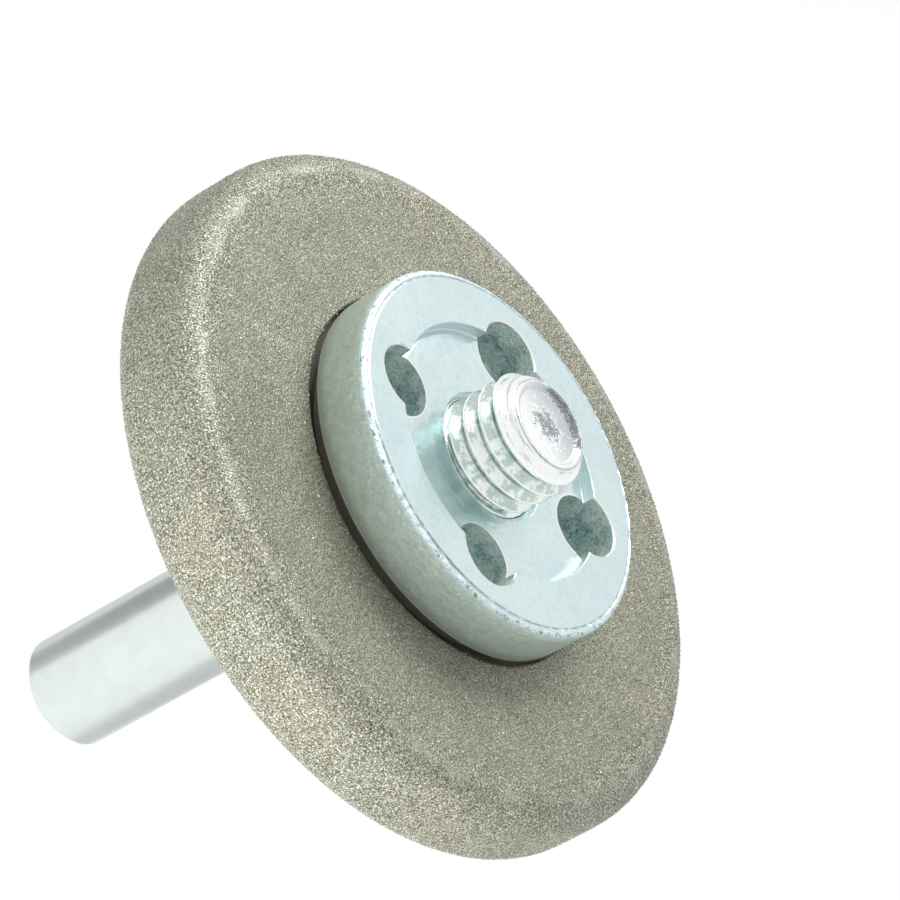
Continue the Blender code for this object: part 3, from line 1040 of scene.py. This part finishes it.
def make_thread(finish):
    """The stud's thread, from its start inside the nut to its dished end."""
    stud = new_object("threaded_stud", bpy.data.meshes.new("threaded_stud"))
    winding = stud.modifiers.new("winding", "NODES")
    winding.node_group = thread_tree()
    set_inputs(winding, {
        "Crest Radius": THREAD_RADIUS,
        "Depth": THREAD_DEPTH,
        "Pitch": THREAD_PITCH,
        "Start": THREAD_START,
        "Covered": THREAD_COVERED,
        "Top": STUD_TOP,
        "End Radius": END_FLAT_RADIUS,
        "Turns": math.ceil((STUD_TOP - THREAD_START) / THREAD_PITCH) + 1,
        "Steps": THREAD_STEPS,
        "Rows": THREAD_ROWS,
        "End Rows": END_ROWS,
        "Finish": finish,
    })
    settle(stud)
    shape = bmesh.new()
    shape.from_mesh(stud.data)
    bmesh.ops.recalc_face_normals(shape, faces=shape.faces)
    shape.to_mesh(stud.data)
    shape.free()
    fit_piece(stud, "turned_steel")


def make_shank(finish):
    """The shank, the shoulder and the plain bar up to the thread's start."""
    shoulder_top = SHANK_LENGTH + SHOULDER_HEIGHT
    outline = rounded_outline([
        (0.0, 0.0, 0.0),
        (SHANK_RADIUS - SHANK_END_EDGE, 0.0, TURNED_EDGE),
        (SHANK_RADIUS, SHANK_END_EDGE, SHANK_END_ROUNDING),
        (SHANK_RADIUS, SHANK_LENGTH, 0.0),
        (SHOULDER_RADIUS - SHOULDER_EDGE, SHANK_LENGTH, TURNED_EDGE),
        (SHOULDER_RADIUS, SHANK_LENGTH + SHOULDER_EDGE, TURNED_EDGE),
        (SHOULDER_RADIUS, shoulder_top - SHOULDER_EDGE, TURNED_EDGE),
        (SHOULDER_RADIUS - SHOULDER_EDGE, shoulder_top, TURNED_EDGE),
        (THREAD_RADIUS, shoulder_top, 0.0),
        (THREAD_RADIUS, THREAD_START - THREAD_DEPTH, 0.0),
        (THREAD_RADIUS - THREAD_DEPTH, THREAD_START, 0.0),
        (0.0, THREAD_START, 0.0),
    ])
    shank = piece_from(turned_shape(outline, TURNED_STEPS, closed=False), "shank", finish)
    fit_piece(even_normals(shank), "turned_steel", "arbor")


def make_flange(finish):
    """The disc behind the wheel, with the spigot that centres it."""
    face = FLANGE_TOP - SPIGOT_HEIGHT
    soft = TURNED_EDGE
    outline = rounded_outline([
        (NUT_BORE_RADIUS, FLANGE_BACK + FLANGE_EDGE, soft),
        (NUT_BORE_RADIUS, FLANGE_TOP, 0.0),
        (SPIGOT_RADIUS - SPIGOT_EDGE, FLANGE_TOP, soft),
        (SPIGOT_RADIUS, FLANGE_TOP - SPIGOT_EDGE, soft),
        (SPIGOT_RADIUS, face, 0.0),
        (FLANGE_RADIUS - FLANGE_EDGE, face, soft),
        (FLANGE_RADIUS, face - FLANGE_EDGE, soft),
        (FLANGE_RADIUS, FLANGE_BACK + FLANGE_EDGE, soft),
        (FLANGE_RADIUS - FLANGE_EDGE, FLANGE_BACK, soft),
        (NUT_BORE_RADIUS + FLANGE_EDGE, FLANGE_BACK, soft),
    ])
    flange = piece_from(turned_shape(outline, TURNED_STEPS), "flange_body", finish)
    fit_piece(even_normals(flange), "zinc_plating", "inner_flange")


def camera_axes():
    """Right, up and back, away from the view, for a view that looks down the nut's face and is rolled."""
    outward = Vector((math.cos(VIEW_AZIMUTH), math.sin(VIEW_AZIMUTH), 0.0))
    upward = Vector((0.0, 0.0, 1.0))
    back = math.cos(AXIS_TILT) * upward - math.sin(AXIS_TILT) * outward
    along = math.sin(AXIS_TILT) * upward + math.cos(AXIS_TILT) * outward
    across = back.cross(along)
    right = math.cos(AXIS_ROLL) * along - math.sin(AXIS_ROLL) * across
    up = math.sin(AXIS_ROLL) * along + math.cos(AXIS_ROLL) * across
    return right, up, back


def make_camera():
    """The photo's camera, placed so that the nut's centre falls on its pixel."""
    right, up, back = camera_axes()
    off_right = (NUT_CENTRE_PIXEL[0] - IMAGE_SIZE / 2) / PIXELS_PER_METRE
    off_down = (NUT_CENTRE_PIXEL[1] - IMAGE_SIZE / 2) / PIXELS_PER_METRE
    nut_centre = Vector((0.0, 0.0, NUT_FACE))
    place = nut_centre - off_right * right + off_down * up + CAMERA_DISTANCE * back
    lens = bpy.data.cameras.new("camera")
    lens.sensor_width = SENSOR_WIDTH
    lens.lens = SENSOR_WIDTH * PIXELS_PER_METRE * CAMERA_DISTANCE / IMAGE_SIZE
    lens.clip_start = CLIP_START
    camera = new_object("camera", lens)
    turn = Matrix((right, up, back)).transposed().to_4x4()
    camera.matrix_world = Matrix.Translation(place) @ turn
    bpy.context.scene.camera = camera


def seen_directly(graph):
    """1 for rays that show the background itself or its mirror image, and 0 for rays that light the part."""
    path = graph.add("ShaderNodeLightPath", output="Is Camera Ray")
    mirrored = graph.maths("MAXIMUM", path.output("Is Glossy Ray"), path.output("Is Transmission Ray"))
    return graph.maths("MAXIMUM", path, mirrored)


def make_world():
    """A white background that lights the part with less than it shows."""
    world = bpy.data.worlds.new("studio")
    world.use_nodes = True
    bpy.context.scene.world = world
    graph = Graph(world.node_tree)
    background = world.node_tree.nodes["Background"]
    background.inputs["Color"].default_value = (1.0, 1.0, 1.0, 1.0)
    strength = AMBIENT + (1.0 - AMBIENT) * seen_directly(graph)
    world.node_tree.links.new(strength.socket, background.inputs["Strength"])


def make_floor():
    """A sheet of white paper well below the part."""
    mesh = bpy.data.meshes.new("floor")
    half = FLOOR_SIZE / 2
    corners = [(-half, -half), (half, -half), (half, half), (-half, half)]
    mesh.from_pydata([(x, y, FLOOR_HEIGHT) for x, y in corners], [], [(0, 1, 2, 3)])
    paper = bpy.data.materials.new("floor_paper")
    paper.use_nodes = True
    graph = Graph(paper.node_tree)
    paper.node_tree.nodes.clear()
    matt = graph.add("ShaderNodeBsdfDiffuse", sockets={"Color": (0.9, 0.9, 0.9, 1.0)})
    glow = graph.add("ShaderNodeEmission", sockets={"Color": (1.0, 1.0, 1.0, 1.0), "Strength": FLOOR_WHITE})
    share = seen_directly(graph) * FLOOR_GLOW
    mixed = graph.add("ShaderNodeMixShader", sockets={0: share, 1: matt, 2: glow})
    graph.add("ShaderNodeOutputMaterial", sockets={"Surface": mixed})
    mesh.materials.append(paper)
    new_object("floor", mesh)


def direction(azimuth, elevation):
    """A level direction turned up from the floor, with both angles in degrees."""
    turn, rise = math.radians(azimuth), math.radians(elevation)
    return Vector((math.cos(turn) * math.cos(rise), math.sin(turn) * math.cos(rise), math.sin(rise)))


def make_lamp(name, away, distance, size, power):
    """A soft lamp, wider than high, that faces the wheel from a direction."""
    lamp = bpy.data.lights.new(name, "AREA")
    lamp.shape = "RECTANGLE"
    lamp.size, lamp.size_y = size
    lamp.energy = power
    holder = new_object(name, lamp)
    holder.location = Vector((0.0, 0.0, WHEEL_FACE)) + away * distance
    holder.rotation_euler = away.to_track_quat("Z", "Y").to_euler()
    holder.visible_camera = False
    return holder


def make_card(name, away, distance, size, shade):
    """A flat grey card that the metals mirror, facing the shank, out of the camera's sight."""
    mesh = bpy.data.meshes.new(name)
    centre = Vector((0.0, 0.0, SHANK_LENGTH)) + away * distance
    turn = away.to_track_quat("Z", "Y")
    half_x, half_y = size[0] / 2, size[1] / 2
    corners = [(-half_x, -half_y), (half_x, -half_y), (half_x, half_y), (-half_x, half_y)]
    mesh.from_pydata([centre + turn @ Vector((x, y, 0.0)) for x, y in corners], [], [(3, 2, 1, 0)])
    paper = bpy.data.materials.new(name + "_paper")
    paper.use_nodes = True
    graph = Graph(paper.node_tree)
    paper.node_tree.nodes.clear()
    glow = graph.add("ShaderNodeEmission", sockets={"Color": (shade, shade, shade, 1.0)})
    graph.add("ShaderNodeOutputMaterial", sockets={"Surface": glow})
    mesh.materials.append(paper)
    card = new_object(name, mesh)
    card.visible_camera = False
    card.visible_diffuse = False
    card.visible_shadow = False


def make_lights():
    """Two lamps for the shapes, and cards for the metals to mirror."""
    make_lamp("key_lamp", direction(104, 48), distance=0.60, size=(0.50, 0.30), power=2.75)
    low = make_lamp("low_lamp", direction(248, -13), distance=0.40, size=(0.30, 0.15), power=2.3)
    low.visible_glossy = False
    make_card("left_card", direction(136, -32), distance=0.33, size=(0.27, 0.14), shade=0.32)
    make_card("upper_card", direction(80, -32), distance=0.33, size=(0.26, 0.14), shade=0.78)
    make_card("right_card", direction(352, -32), distance=0.33, size=(0.50, 0.14), shade=0.60)
    make_card("high_left_card", direction(128, 70), distance=0.40, size=(0.12, 0.12), shade=0.10)
    make_card("high_right_card", direction(330, 70), distance=0.40, size=(0.14, 0.14), shade=0.12)


def main():
    make_camera()
    make_world()
    make_floor()
    make_lights()
    make_wheel(grit_bond_finish(), bare_steel_finish())
    make_grit_coats()
    make_nut(zinc_finish(), cast_hole_finish())
    make_thread(thread_finish())
    make_shank(shank_finish())
    make_flange(flange_finish())
    bpy.context.scene.view_settings.view_transform = "Standard"


main()
